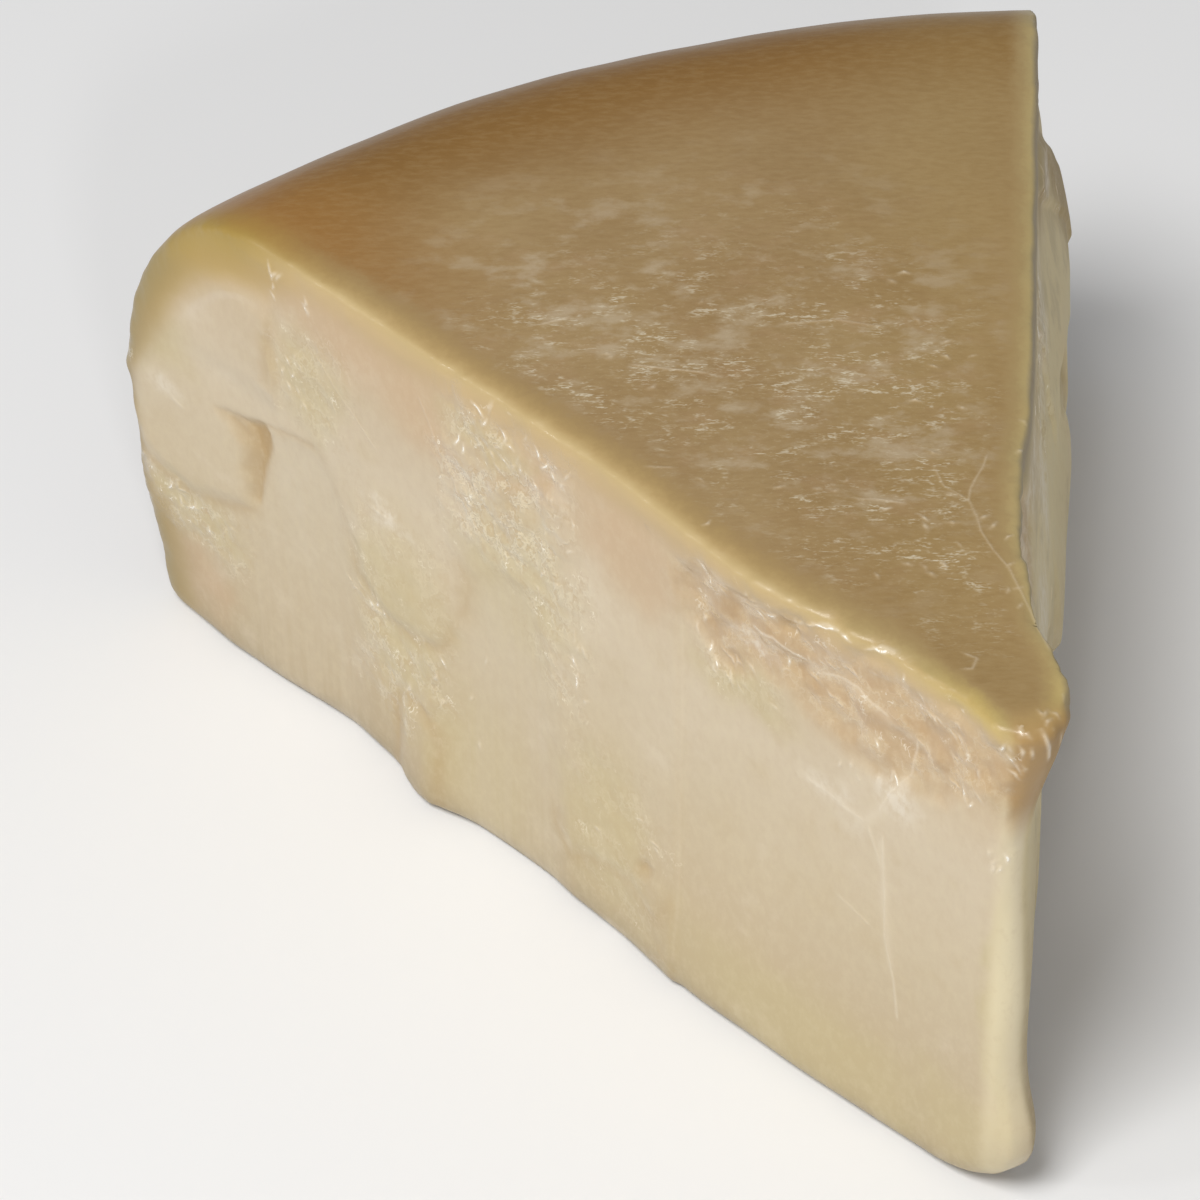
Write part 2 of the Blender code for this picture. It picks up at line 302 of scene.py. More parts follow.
RIGHT_SIDE = {
    "marks": [
        (0.6, 56, [(49, -5), (51, 20), (53, 38), (56, 49), (61, 55), (67, 55.5), (72, 50), (74, 38),
                   (75, 18), (76, -5)]),
        (0.6, 58, [(114, -5), (116, 22), (118, 40), (122, 52), (127, 58), (134, 58), (139, 51), (141, 38),
                   (143, 18), (144, -5)]),
    ],
    "lobes": [
        (1.5, 1.8, 38, 64, [(76, 46), (78, 38), (84, 34), (92, 33), (100, 34.5), (108, 37), (114, 42),
                            (114, 56), (106, 68), (90, 70), (80, 62)]),
        (1.3, 1.6, 30, 60, [(146, 34), (152, 28), (160, 26.5), (168, 29), (173, 36), (173, 50), (166, 60),
                            (154, 60), (147, 50)]),
        (0.9, 1.5, 90, 97, [(133, 94), (167, 65), (170, 48), (160, 48), (152, 62), (121, 93)]),
    ],
    "dents": [
        (1.2, 2.0, 0.0, [(136, 93), (168, 67), (174, 45), (200, 45), (200, 93)]),
        (0.9, 3.0, 0.6, [(122, 60), (112, 63), (110, 59.5), (120, 56)]),
        (0.6, 3.2, 0.5, [(119, 57), (113.5, 57.5), (115.5, 46), (117.5, 38), (119.5, 44)]),
        (0.5, 1.8, 0.4, [(31, 19.5), (28, 18), (29, 16), (32.5, 16)]),
    ],
    "steps": [(98.0, 1.6, 60, 90, 0.7, 12.0), (30.0, 2.6, -5, 80, 0.5, 10.0)],
    "torn": [
        (0.8, 3.0, [(76, 93), (104, 93), (106, 76), (96, 66), (80, 70)]),
        (0.45, 5.0, [(76, 34), (112, 36), (114, 14), (96, 8), (78, 14)]),
        (0.45, 4.0, [(146, 28), (172, 28), (176, 10), (160, 4), (146, 10)]),
        (0.4, 3.0, [(142, 84), (160, 82), (158, 70), (143, 70)]),
    ],
    "wet": [(4.0, [(18, 95), (56, 95), (62, 86), (52, 76), (38, 78), (28, 70), (22, 76)])],
    "blush": [(70, 82, 14, 9), (28, 84, 28, 10), (160, 70, 12, 8), (120, 60, 12, 9)],
    "sallow": [(90, 55, 40, 30), (130, 40, 30, 30), (30, 40, 30, 40), (112, 82, 16, 12), (160, 30, 20, 30)],
    "pale": [(110, 89, 8, 6), (104, 81, 9, 8), (98, 86, 7, 6), (92, 79, 8, 6), (76, 74, 11, 13),
             (60, 64, 10, 12), (66, 86, 13, 7), (135, 86, 8, 5), (50, 82, 9, 9)],
}
# Where the right side is painted darker olive brown, near the heel.
RIGHT_BROWN_PATCH = [(134, 94), (171, 66), (172, 46), (158, 46), (146, 66), (116, 94)]


def side_work(u, v, stray, work):
    """The marks of splitting on one side: how far they stand out, and where the paste is left how."""
    out = np.zeros(u.shape)
    smooth, brown_shade, torn, wet = (np.zeros(u.shape) for _ in range(4))
    patchy = np.clip(0.6 + 0.15 * stray, 0.1, 1.0)
    for depth, top, corners in work["marks"]:
        soft = 4.0 + 3.0 * ramp(v, top - 8.0, top - 26.0)
        within = inside(u, v, corners)
        mark = ramp(within, -0.5 * soft, 0.7 * soft)
        out -= depth * mark
        smooth = np.maximum(smooth, mark)
        # Painted shade: a brown rim along the top of each mark, where the blade stopped.
        rim = np.exp(-(within / 1.1) ** 2) * ramp(v, top - 22.0, top - 6.0)
        brown_shade = np.maximum(brown_shade, 0.24 * patchy * rim)
    for rise, edge, low, high, corners in work["lobes"]:
        within = inside(u, v, corners)
        out += rise * ramp(within, -0.3 * edge, edge) * ramp(v, high, low)
        # Painted shadow: a brown rim under each lobe's lower edge.
        rim = np.exp(-((within + 0.6) / 1.2) ** 2) * ramp(v, low + 6.0, low - 2.0)
        brown_shade = np.maximum(brown_shade, 0.35 * rim)
    # Painted shade: each dent is tinted brown by its share.
    for depth, edge, tint, corners in work["dents"]:
        dent = ramp(inside(u, v, corners), -0.6 * edge, 0.8 * edge)
        out -= depth * dent
        brown_shade = np.maximum(brown_shade, tint * dent)
    for place, edge, low, high, rise, reach in work["steps"]:
        beyond = np.exp(-np.maximum(u - place, 0.0) / reach) * ramp(u, place - edge / 2, place + edge / 2)
        out += rise * beyond * ramp(v, low, low + 6) * ramp(v, high, high - 6)
    for amount, edge, corners in work["torn"]:
        torn = np.maximum(torn, amount * ramp(inside(u, v, corners) + stray, -edge, edge))
    for edge, corners in work["wet"]:
        wet = np.maximum(wet, ramp(inside(u, v, corners) + 0.7 * stray, -0.5 * edge, edge))
    tints = [round_spots(u + stray, v + stray, work[tint]) for tint in ("blush", "sallow", "pale")]
    return np.array([out, smooth * (1.0 - brown_shade), brown_shade, torn, wet] + tints)


waver_along = 0.8 * clouds(points, 7.0, 3, 1)
waver_up = 0.8 * clouds(points, 7.0, 3, 2)
stray = 4.0 * clouds(points, 8.0, 4, 10)
patch_waver = 3.5 * clouds(points, 12.0, 3, 9)
left_work = faces_left * side_work(along_left + waver_along, height + waver_up, stray, LEFT_SIDE)
right_work = faces_right * side_work(along_right + waver_along, height + waver_up, stray, RIGHT_SIDE)
smooth, brown_shade, torn, wet, blush, sallow, pale = left_work[1:] + right_work[1:]
olive_brown_patch = faces_right * ramp(inside(along_right + patch_waver, height + patch_waver, RIGHT_BROWN_PATCH), -4.0, 6.0)
points[:, :2] += left_work[0][:, None] * left_out + right_work[0][:, None] * right_out
lift = 0.35 * clouds(points, 26.0, 2, 3)
rough = torn > 0.02
lift[rough] += torn[rough] * (
    0.6 * clouds(points[rough], 6.0, 4, 4) + 0.15 * folds(points[rough], 3.2, 2, 5)
)
wetted = wet > 0.02
lift[wetted] += wet[wetted] * (
    1.1 * clouds(points[wetted], 8.0, 2, 6) + 0.28 * clouds(points[wetted], 3.5, 2, 7) - 0.8
)
lip = (rind_edge > -3.0) & (rind_edge < 5.0) & (faces_down < 0.1)
by_nose = 0.35 + 0.65 * ramp(from_middle[lip], 100.0, 80.0)
lip_share = ramp(np.abs(rind_edge[lip] - 1.0), 4.0, 0.5) * by_nose
lift[lip] += 0.9 * lip_share * clouds(points[lip], 7.0, 3, 8)
lift *= (1.0 - 0.85 * smooth) * (1.0 - faces_down)
points += lift[:, None] * normals
points[:, 2] = np.maximum(points[:, 2], 0.0)
wedge.data.vertices.foreach_set("co", (points * MM).ravel())
work_in(wedge, "settling", "SMOOTH", factor=0.5, iterations=SETTLING)
points, normals = points_and_normals(wedge.data)


# ---------------------------------------------------------------------------------------------------------
# The film: a clear bag drawn tight by vacuum. It lies on the cheese like a skin, so it is part of the same
# surface, and it stands off in small pleats and long fine creases wherever the cheese is uneven.
# ---------------------------------------------------------------------------------------------------------
THINNED_TRIANGLES = 104000
PLEAT_EDGE = 0.38
PLEAT_REACH = 0.3
PLEAT_MARGIN = 0.35
PLEAT_ROUNDS = 11
PLEAT_STRAY, PLEAT_BEND = 35, 50
PLEAT_HALF_WIDTHS = (0.17, 0.30)
PLEAT_RISES = (0.08, 0.22)
PLEAT_GLINT_PAINT = (0.5, 1.0)
GLINT = (0.21, 0.16, 1.5)
LINE_REACH = 2.0
LINE_TAPER = 0.8
random.seed(7)

# What the cheese's finish needs to know at each point.
outer = ramp(from_middle, 166.0, 192.0)
from_nose = points[:, :2] - nose
across, back = from_nose.T
by_left_cut = ramp(np.abs(from_nose @ left_out), 30.0, 3.0)
tip = ramp(across, -1.3, 0.0) * ramp(back, 8.0, 3.0) * ramp(height, 73.0, 84.0)
nose_gap = np.hypot(across, back)
# Near the nose's upright edge the paste is painted paler, as painted light on an edge turned from the key
# light.
nose_edge = ramp(nose_gap, 5.4, 2.2) * (1.0 - tip) * (0.5 + 0.5 * ramp(height, 12.0, 52.0))
right_hand = ramp(np.abs(from_nose @ right_out), 42.0, 8.0) * ramp(normals[:, :2] @ left_out, 0.6, 0.2)
speckled = round_spots(across, back, [(0, 74, 36, 56), (-24, 96, 28, 28), (3, 46, 15, 34)])
hazy = round_spots(across, back, [(0, 82, 48, 66), (-22, 106, 38, 38), (4, 60, 20, 26)])
thin_rind = ramp(height, 22.0, 36.0) * (0.2 * ramp(height, 92.0, 80.0) + 0.8 * ramp(height, 66.0, 46.0))
right_cut = ramp(np.abs(from_nose @ right_out), 20.0, 6.0) * (facing_wheel > 0.5)
heel = ramp(from_middle, 174.0, 194.0) * (1.0 - right_hand) * (0.45 + 0.55 * ramp(height, 56.0, 84.0))
# How squarely a point faces right. There the paste is painted darker and olive, partly as painted shade.
olive = ramp(normals[:, :2] @ right_out, 0.55, 0.9)
corner = ramp(from_middle, 138.0, 184.0) * by_left_cut * ramp(height, 60.0, 85.0)
# Along the heel's edge the cut side is painted darker, as shade.
heel_edge_shade = outer * ramp(height, 92.0, 76.0)
near_nose = ramp(nose_gap, 26.0, 6.0) * (0.3 + 0.7 * ramp(np.abs(from_nose @ right_out), 2.0, 7.0))
faces_up = ramp(normals[:, 2], 0.7, 0.95)
rind_edge *= 1.0 + np.where(rind_edge < 0, 0.6 * right_cut, 1.8 * outer * thin_rind)
guides = {
    "rind_edge": rind_edge, "outer": outer, "corner": corner, "heel": heel, "heel_edge_shade": heel_edge_shade, "tip": tip,
    "nose_edge": nose_edge, "near_nose": near_nose, "right_hand": right_hand, "olive": olive,
    "speckled": speckled * faces_up, "hazy": hazy * faces_up, "smooth": smooth, "torn": torn, "wet": wet,
    "brown_shade": np.maximum(brown_shade, olive_brown_patch), "blush": blush, "sallow": sallow, "pale": pale,
}
for name, values in guides.items():
    wedge.data.attributes.new(name, "FLOAT", "POINT").data.foreach_set("value", values.astype(np.float32))
work_in(wedge, "thinning", "DECIMATE", ratio=THINNED_TRIANGLES / (2 * len(wedge.data.polygons)))

# Long creases, then pleats: half width, rise, and how strong a highlight is painted on them, then the line
# that each follows.
LEFT_CREASES = [
    (0.27, 0.08, 0.6, [(20, 84), (21, 76), (24, 71), (26, 65.5)]),
    (0.90, 0.03, 0.35, [(20.5, 77), (23.5, 71), (26, 65.5), (28.5, 62)]),
    (0.24, 0.07, 0.5, [(25, 62), (24, 50), (23.5, 42), (21.5, 34), (20.5, 26)]),
    (0.80, 0.03, 0.3, [(25.5, 61), (24.5, 54), (23.8, 47), (22, 36)]),
    (0.48, 0.05, 0.5, [(40.5, 62.6), (36, 62.8), (32, 62), (28, 62)]),
    (0.95, 0.03, 0.3, [(41, 62.6), (35, 62.8), (29.5, 62)]),
    (0.36, 0.06, 0.4, [(28, 62), (26, 58), (25, 55)]),
    (0.21, 0.07, 0.3, [(33, 44), (29, 43), (26, 42)]),
    (0.32, 0.05, 0.8, [(51, 86), (48.5, 86.5), (46, 87.5), (43, 86.5), (40, 86)]),
    (0.32, 0.05, 0.8, [(38, 85), (35, 86.2), (31, 86.8), (28, 85.4), (25, 84.6)]),
    (0.90, 0.04, 0.3, [(50, 85.6), (44, 86.4), (38, 85.4), (31, 86), (24, 83.6), (17, 83)]),
    (0.36, 0.07, 0.5, [(130, 57.5), (127, 57.2), (125, 57.5)]),
    (0.48, 0.07, 0.35, [(174, 53), (171, 51.5)]),
    (0.20, 0.06, 0.3, [(140, 82), (134, 76), (128, 70)]),
    (0.20, 0.06, 0.25, [(118, 88), (110, 72), (104, 64)]),
    (0.21, 0.15, 0.8, [(40, 94), (37.5, 95.6), (34, 96)]),
    (0.21, 0.15, 0.8, [(30, 95), (28, 96.3), (25, 96.6)]),
    (0.30, 0.04, 0.12, [(64.5, 90), (64, 60), (64.5, 34), (64, 20), (64.5, 6)]),
]
TOP_CREASES = [
    (0.16, 0.05, 0.35, [(18.7, 55.5), (17, 53.2), (15.2, 51.5), (13.4, 49.6), (12.2, 47.5), (11.9, 44),
                        (11.2, 41), (11.3, 37), (11.9, 33), (11.6, 29.5), (11.4, 24), (10.9, 20),
                        (10.6, 16)]),
    (0.16, 0.05, 0.3, [(10.4, 55.5), (10.1, 51.5), (12.2, 47.5)]),
    (0.20, 0.06, 0.40, [(-3, 53.7), (0.7, 52), (3.6, 50)]),
    (0.20, 0.06, 0.50, [(-22, 92), (-17, 89), (-12, 86)]),
    (0.20, 0.06, 0.45, [(-31, 105), (-26, 105)]),
    (0.20, 0.06, 0.40, [(-1, 20), (0.5, 18.2), (-1, 16.5), (-2.5, 17)]),
    (0.20, 0.06, 0.30, [(2, 92), (10, 90), (16, 86)]),
    (0.20, 0.06, 0.30, [(-28, 71), (-24, 69)]),
]
# Groups of pleats: how many, the middle of the group and its half sizes, and which way the pleats run.
LEFT_PLEATS = [
    (16, 100, 88, 13, 6, 100), (10, 98, 72, 12, 10, 95), (7, 87, 52, 3, 8, 85), (9, 174, 28, 12, 6, 130),
    (5, 187, 52, 2, 6, 90), (8, 146, 74, 3, 6, 90), (3, 148.5, 90.5, 0.8, 3, 90),
    (2, 141.5, 90.5, 1, 1, 120), (9, 125, 28, 10, 9, 100), (5, 132, 35, 5, 2, 10),
    (14, 45, 86, 15, 6, 20), (12, 22, 86, 16, 6, 30), (6, 46, 92, 6, 1.5, 150), (6, 58, 78, 4, 7, 80),
    (6, 11, 82, 6, 8, 60), (6, 30, 72, 6, 4, 100), (6, 50, 74, 8, 3, 20), (3, 4, 71, 2, 3, 80),
    (4, 3, 92, 2, 4, 90), (4, 76, 26, 8, 6, 10), (3, 110, 30, 3, 12, 90),
]
RIGHT_PLEATS = [
    (16, 90, 82, 13, 8, 90), (12, 92, 24, 14, 9, 95), (10, 160, 18, 12, 8, 120), (14, 30, 84, 24, 7, 20),
    (8, 120, 84, 14, 8, 80), (6, 150, 76, 6, 6, 90), (5, 66, 50, 8, 8, 60), (6, 110, 50, 6, 12, 85),
]
TOP_PLEATS = [
    (24, 0, 75, 28, 26, -21), (10, -2, 40, 10, 8, -60), (8, 12, 34, 3, 10, 10), (5, 22, 66, 5, 14, 0),
    (5, 4, 3, 3, 2, 75),
]
# Folds gathered round the nose, by places across it and up it.
NOSE_FOLDS = [
    (0.30, 0.15, 0.9, [(3.2, 96.6), (4.0, 93.5), (4.2, 91)]),
    (0.28, 0.12, 0.7, [(6.4, 94.5), (6.6, 91.5)]),
    (0.26, 0.12, 0.8, [(1.4, 94.5), (1.6, 92.5)]),
    (0.26, 0.12, 0.7, [(2.5, 97), (7, 97.4), (8.6, 96.6)]),
    (0.24, 0.10, 0.5, [(-1.6, 95), (-0.8, 93)]),
    (0.24, 0.10, 0.6, [(0.0, 96), (0.8, 97), (1.4, 96)]),
]
# Single folds with a painted glint: place along the side and up it, length and direction.
LEFT_GLINTS = [
    (148.7, 93, 1.6, 80), (148.4, 91, 1.2, 100), (148.6, 89, 1.4, 60), (141.6, 90.6, 1.8, 60),
    (105.5, 93, 3.0, 30), (104, 91.5, 2.0, 120), (100.5, 91, 2.2, 60), (99, 89.5, 1.6, 10),
    (93.4, 92, 2.4, 70), (92, 90.4, 2.6, 130), (90.6, 89, 2.0, 80), (109.8, 84.6, 3.2, 110),
    (108.6, 83.4, 2.4, 100), (100.4, 86, 1.8, 30), (97, 86.5, 1.6, 100), (94, 85, 1.8, 60),
    (132, 34.6, 2.2, 60), (130.5, 35.6, 2.2, 120), (129, 34.6, 1.8, 90), (115.6, 33.6, 2.2, 60),
    (87, 54, 2.0, 80), (86.4, 50, 3.0, 90), (59.5, 92.6, 2.4, 60), (58.2, 90.6, 2.0, 100),
    (59, 76, 2.4, 100), (57.6, 73.8, 2.0, 70), (48.6, 90.4, 2.2, 40), (46.4, 91.8, 2.6, 150),
    (44, 83.4, 2.0, 90), (36.8, 95.6, 4.0, 170), (33, 95.8, 2.0, 10), (27.6, 96.2, 3.0, 170),
    (23, 94, 1.6, 100), (19.6, 92.6, 1.4, 60), (10.4, 88, 1.6, 60), (11, 80.2, 2.2, 80),
    (9.4, 79, 1.8, 120), (27.2, 78.2, 1.8, 60), (3.4, 71.6, 2.2, 80), (4, 69.4, 1.4, 110),
    (4.6, 93.6, 2.6, 120), (3.4, 91.6, 1.8, 60), (23.4, 73.6, 2.8, 60), (186.6, 56, 2.4, 90),
    (185.8, 52, 2.0, 80), (177, 31, 2.6, 120), (172.6, 29, 3.0, 140), (169, 26, 2.0, 100),
    (146.5, 77, 1.6, 60), (145.6, 74.6, 1.6, 120), (146.8, 71.6, 1.6, 70),
]
RIGHT_GLINTS = [
    (128, 88, 1.6, 60), (106, 90, 3.0, 100), (104, 88, 2.6, 80), (98, 86, 3.6, 95), (94, 84, 3.0, 80),
    (90, 88, 2.0, 60), (83, 84, 5.0, 60), (81, 82, 2.4, 10), (76, 90, 3.0, 80), (44, 90, 3.0, 100),
    (40, 86, 2.4, 60),
]


def glints(places):
    """One short fold at each place, with a painted glint on it."""
    lines = []
    for u, v, length, direction in places:
        du = 0.5 * length * math.cos(math.radians(direction))
        dv = 0.5 * length * math.sin(math.radians(direction))
        lines.append((*GLINT, [(u - du, v - dv), (u - 0.2 * dv, v + 0.2 * du), (u + du, v + dv)]))
    return lines


def pleats(groups, longest):
    """Short crooked lines scattered over the groups' places."""
    lines = []
    for count, u, v, half_u, half_v, direction in groups:
        for _ in range(count):
            start = (u + half_u * random.uniform(-1, 1), v + half_v * random.uniform(-1, 1))
            heading = math.radians(direction + random.uniform(-PLEAT_STRAY, PLEAT_STRAY))
            bend = math.radians(random.uniform(-PLEAT_BEND, PLEAT_BEND))
            step = random.uniform(0.25, 0.5) * longest
            middle = (start[0] + step * math.cos(heading), start[1] + step * math.sin(heading))
            end = (middle[0] + step * math.cos(heading + bend), middle[1] + step * math.sin(heading + bend))
            look = [random.uniform(*span) for span in (PLEAT_HALF_WIDTHS, PLEAT_RISES, PLEAT_GLINT_PAINT)]
            lines.append((*look, [start, middle, end]))
    return lines


film_lines = [
    (left_out, left_run, LEFT_CREASES + glints(LEFT_GLINTS) + pleats(LEFT_PLEATS, 2.6)),
    (right_out, right_run, glints(RIGHT_GLINTS) + pleats(RIGHT_PLEATS, 3.2)),
    (np.array([0.0, -1.0]), np.array([1.0, 0.0]), NOSE_FOLDS),
    (None, None, TOP_CREASES + pleats(TOP_PLEATS, 1.8)),
]


def on_side(points, normals, out, run):
    """Each point's place on a side, or on the top where there is no side, and whether it faces that way."""
    if out is None:
        return points[:, 0] - nose[0], points[:, 1] - nose[1], normals[:, 2] > 0.6
    return (points[:, :2] - nose) @ run, points[:, 2], normals[:, :2] @ out > 0.25


def film_lift(points, normals):
    """How far the pleats stand out at each point, how strong a highlight is painted there, and how near the
    nearest one is.
    """
    rise = np.zeros(len(points))
    painted_glint = np.zeros(len(points))
    nearest = np.full(len(points), np.inf)
    for out, run, lines in film_lines:
        u, v, faces = on_side(points, normals, out, run)
        for half_width, height_up, glint_paint, line in lines:
            ends = np.array(line)
            low, high = ends.min(axis=0) - LINE_REACH, ends.max(axis=0) + LINE_REACH
            near = np.nonzero(faces & (u > low[0]) & (u < high[0]) & (v > low[1]) & (v < high[1]))[0]
            gap = beside(u[near], v[near], line) / half_width
            here = np.array([u[near], v[near]])
            from_end = np.minimum(np.hypot(*(here - ends[0][:, None])),
                                  np.hypot(*(here - ends[-1][:, None])))
            taper = np.clip(from_end / LINE_TAPER, 0.3, 1.0)
            crest = np.exp(-gap * gap) * taper
            rise[near] = np.maximum(rise[near], height_up * crest)
            painted_glint[near] = np.maximum(painted_glint[near], glint_paint * crest)
            nearest[near] = np.minimum(nearest[near], gap * half_width)
    return rise, painted_glint, nearest


# Long edges near the pleats are halved, longest first and no two of one face at once, so that every face
# they belong to is cut cleanly in two.
shape = bmesh.new()
shape.from_mesh(wedge.data)
bmesh.ops.triangulate(shape, faces=shape.faces[:])
for _ in range(PLEAT_ROUNDS):
    shape.normal_update()
    shape.verts.ensure_lookup_table()
    here = np.array([vertex.co for vertex in shape.verts]) / MM
    ways = np.array([vertex.normal for vertex in shape.verts])
    nearest = film_lift(here, ways)[2]
    longish = {}
    for index in np.nonzero(np.isfinite(nearest))[0].tolist():
        for edge in shape.verts[index].link_edges:
            length = edge.calc_length() / MM
            if length > PLEAT_EDGE and nearest[index] < PLEAT_REACH + PLEAT_MARGIN * length:
                longish[edge] = length
    halved = []
    cut_faces = set()
    for edge in sorted(longish, key=longish.get, reverse=True):
        if cut_faces.isdisjoint(edge.link_faces):
            cut_faces.update(edge.link_faces)
            halved.append(edge)
    bmesh.ops.subdivide_edges(shape, edges=halved, cuts=1, use_single_edge=True)
    shape.verts.index_update()
shape.to_mesh(wedge.data)
shape.free()
points, normals = points_and_normals(wedge.data)
rise, painted_glint, _ = film_lift(points, normals)
points += rise[:, None] * normals
wedge.data.vertices.foreach_set("co", (points * MM).ravel())
wedge.data.attributes.new("pleat_glint", "FLOAT", "POINT").data.foreach_set("value", painted_glint.astype(np.float32))
wedge.data.polygons.foreach_set("use_smooth", [True] * len(wedge.data.polygons))
wedge.data.update()


# ---------------------------------------------------------------------------------------------------------
# The finish: cream paste, clouded and streaked, a brown rind whose cut edge runs through ochre to yellow,
# and the film's gloss over both.
# ---------------------------------------------------------------------------------------------------------
def srgb(red, green, blue):
    """A colour as seen, each channel from 0 to 255, as the light values that the shader takes."""
    seen = [channel / 255 for channel in (red, green, blue)]
    return tuple(c / 12.92 if c <= 0.04045 else ((c + 0.055) / 1.055) ** 2.4 for c in seen) + (1.0,)


# A mix node's sockets for colours; their names lead to the ones for single values.
MIX_FIRST, MIX_SECOND, MIX_RESULT = 6, 7, 2


class Finish:
    """One material's nodes, added and linked step by step."""

    def __init__(self, name):
        self.material = bpy.data.materials.new(name)
        self.material.use_nodes = True
        self.tree = self.material.node_tree
        self.shader = self.tree.nodes["Principled BSDF"]

    def put(self, value, socket):
        """Links a node's output to the socket, or sets the socket's own value."""
        if isinstance(value, bpy.types.NodeSocket):
            self.tree.links.new(value, socket)
        else:
            socket.default_value = value

    def guide(self, name):
        """A value kept at each point of the mesh."""
        node = self.tree.nodes.new("ShaderNodeAttribute")
        node.attribute_name = name
        return node.outputs["Fac"]

    def place(self, stretch, turned=0.0):
        """The point's place in millimetres over stretch along each axis, first turned about the upright."""
        spot = self.tree.nodes.new("ShaderNodeTexCoord").outputs["Object"]
        turner = self.tree.nodes.new("ShaderNodeMapping")
        turner.vector_type = "POINT"
        turner.inputs["Rotation"].default_value = (0, 0, math.radians(turned))
        self.put(spot, turner.inputs["Vector"])
        scaler = self.tree.nodes.new("ShaderNodeVectorMath")
        scaler.operation = "MULTIPLY"
        self.put(turner.outputs["Vector"], scaler.inputs[0])
        self.put(tuple(1 / (MM * s) for s in stretch), scaler.inputs[1])
        return scaler.outputs["Vector"]

    def cloud(self, vector, detail=3.0, roughness=0.5, seed=0.0):
        """Noise about 0.5, one lump to each unit of the vector."""
        node = self.tree.nodes.new("ShaderNodeTexNoise")
        node.noise_dimensions = "4D"
        node.inputs["Scale"].default_value = 1.0
        node.inputs["Detail"].default_value = detail
        node.inputs["Roughness"].default_value = roughness
        node.inputs["W"].default_value = seed
        self.put(vector, node.inputs["Vector"])
        return node.outputs["Fac"]

    def sum(self, operation, first, second=0.0, third=0.0):
        """One step of arithmetic on values."""
        node = self.tree.nodes.new("ShaderNodeMath")
        node.operation = operation
        self.put(first, node.inputs[0])
        self.put(second, node.inputs[1])
        if operation == "MULTIPLY_ADD":
            self.put(third, node.inputs[2])
        return node.outputs["Value"]

    def times(self, first, second):
        """The product of two values."""
        return self.sum("MULTIPLY", first, second)

    def off(self, value, middle):
        """How far a value is from a middle one."""
        return self.sum("ABSOLUTE", self.sum("SUBTRACT", value, middle))

    def span(self, value, low, high, to_low=0.0, to_high=1.0):
        """The value's smooth share of the way from low to high, as a value from to_low to to_high."""
        node = self.tree.nodes.new("ShaderNodeMapRange")
        node.interpolation_type = "SMOOTHSTEP"
        for socket, number in zip(("Value", "From Min", "From Max", "To Min", "To Max"),
                                  (value, low, high, to_low, to_high)):
            self.put(number, node.inputs[socket])
        return node.outputs["Result"]

    def mix(self, share, first, second):
        """The first colour, turned into the second by its share."""
        node = self.tree.nodes.new("ShaderNodeMix")
        node.data_type = "RGBA"
        self.put(share, node.inputs["Factor"])
        self.put(first, node.inputs[MIX_FIRST])
        self.put(second, node.inputs[MIX_SECOND])
        return node.outputs[MIX_RESULT]

    def band(self, value, stops):
        """Colours from stop to stop along a value from 0 to 1."""
        node = self.tree.nodes.new("ShaderNodeValToRGB")
        elements = node.color_ramp.elements
        for place, colour in stops:
            stop = elements.new(place)
            stop.color = colour
        elements.remove(elements[0])
        elements.remove(elements[len(elements) - 1])
        self.put(value, node.inputs["Fac"])
        return node.outputs["Color"]


RIND_TURN = 21.0
BUMP_DEPTH = 0.4 * MM
cheese = Finish("cheese_in_film")
mm = cheese.place((1, 1, 1))
torn_at = cheese.guide("torn")
wet_at = cheese.guide("wet")
smooth_at = cheese.guide("smooth")
outer_at = cheese.guide("outer")
pleat_glint_at = cheese.guide("pleat_glint")

# Paste: cream, painted darker towards the base as shade near the floor, clouded, and streaked where the
# blade smoothed it.
separate = cheese.tree.nodes.new("ShaderNodeSeparateXYZ")
cheese.put(mm, separate.inputs[0])
up = separate.outputs["Z"]
paste = cheese.band(cheese.sum("DIVIDE", up, 100.0), [
    (0.0, srgb(152, 134, 100)), (0.03, srgb(169, 150, 115)), (0.07, srgb(183, 163, 128)),
    (0.2, srgb(194, 174, 140)), (0.4, srgb(202, 184, 152)), (0.65, srgb(208, 191, 163)),
    (0.86, srgb(202, 180, 147)), (0.95, srgb(200, 176, 140)),
])
mottle = cheese.cloud(cheese.place((11, 11, 11)), 5.0, 0.6, 1.0)
paste = cheese.mix(cheese.span(mottle, 0.48, 0.3, 0.0, 0.45), paste, srgb(198, 178, 142))
paste = cheese.mix(cheese.span(mottle, 0.52, 0.7, 0.0, 0.45), paste, srgb(218, 203, 178))
paste = cheese.mix(cheese.times(cheese.guide("blush"), 0.65), paste, srgb(200, 168, 130))
paste = cheese.mix(cheese.times(cheese.guide("sallow"), 0.6), paste, srgb(196, 179, 132))
# The right side's paste is painted darker and more olive: partly its own tint, partly painted shade for the
# side turned away from the light.
olive_at = cheese.guide("olive")
olive_shaded_paste = cheese.band(cheese.sum("DIVIDE", up, 100.0), [
    (0.0, srgb(148, 129, 92)), (0.2, srgb(170, 150, 110)), (0.38, srgb(186, 168, 126)),
    (0.62, srgb(218, 200, 148)), (0.75, srgb(220, 202, 148)), (0.95, srgb(190, 169, 118)),
])
olive_shaded_paste = cheese.mix(cheese.span(mottle, 0.5, 0.35, 0.0, 0.45), olive_shaded_paste, srgb(168, 150, 104))
olive_shaded_paste = cheese.mix(cheese.span(mottle, 0.52, 0.7, 0.0, 0.4), olive_shaded_paste, srgb(208, 194, 152))
paste = cheese.mix(cheese.times(olive_at, 0.75), paste, olive_shaded_paste)
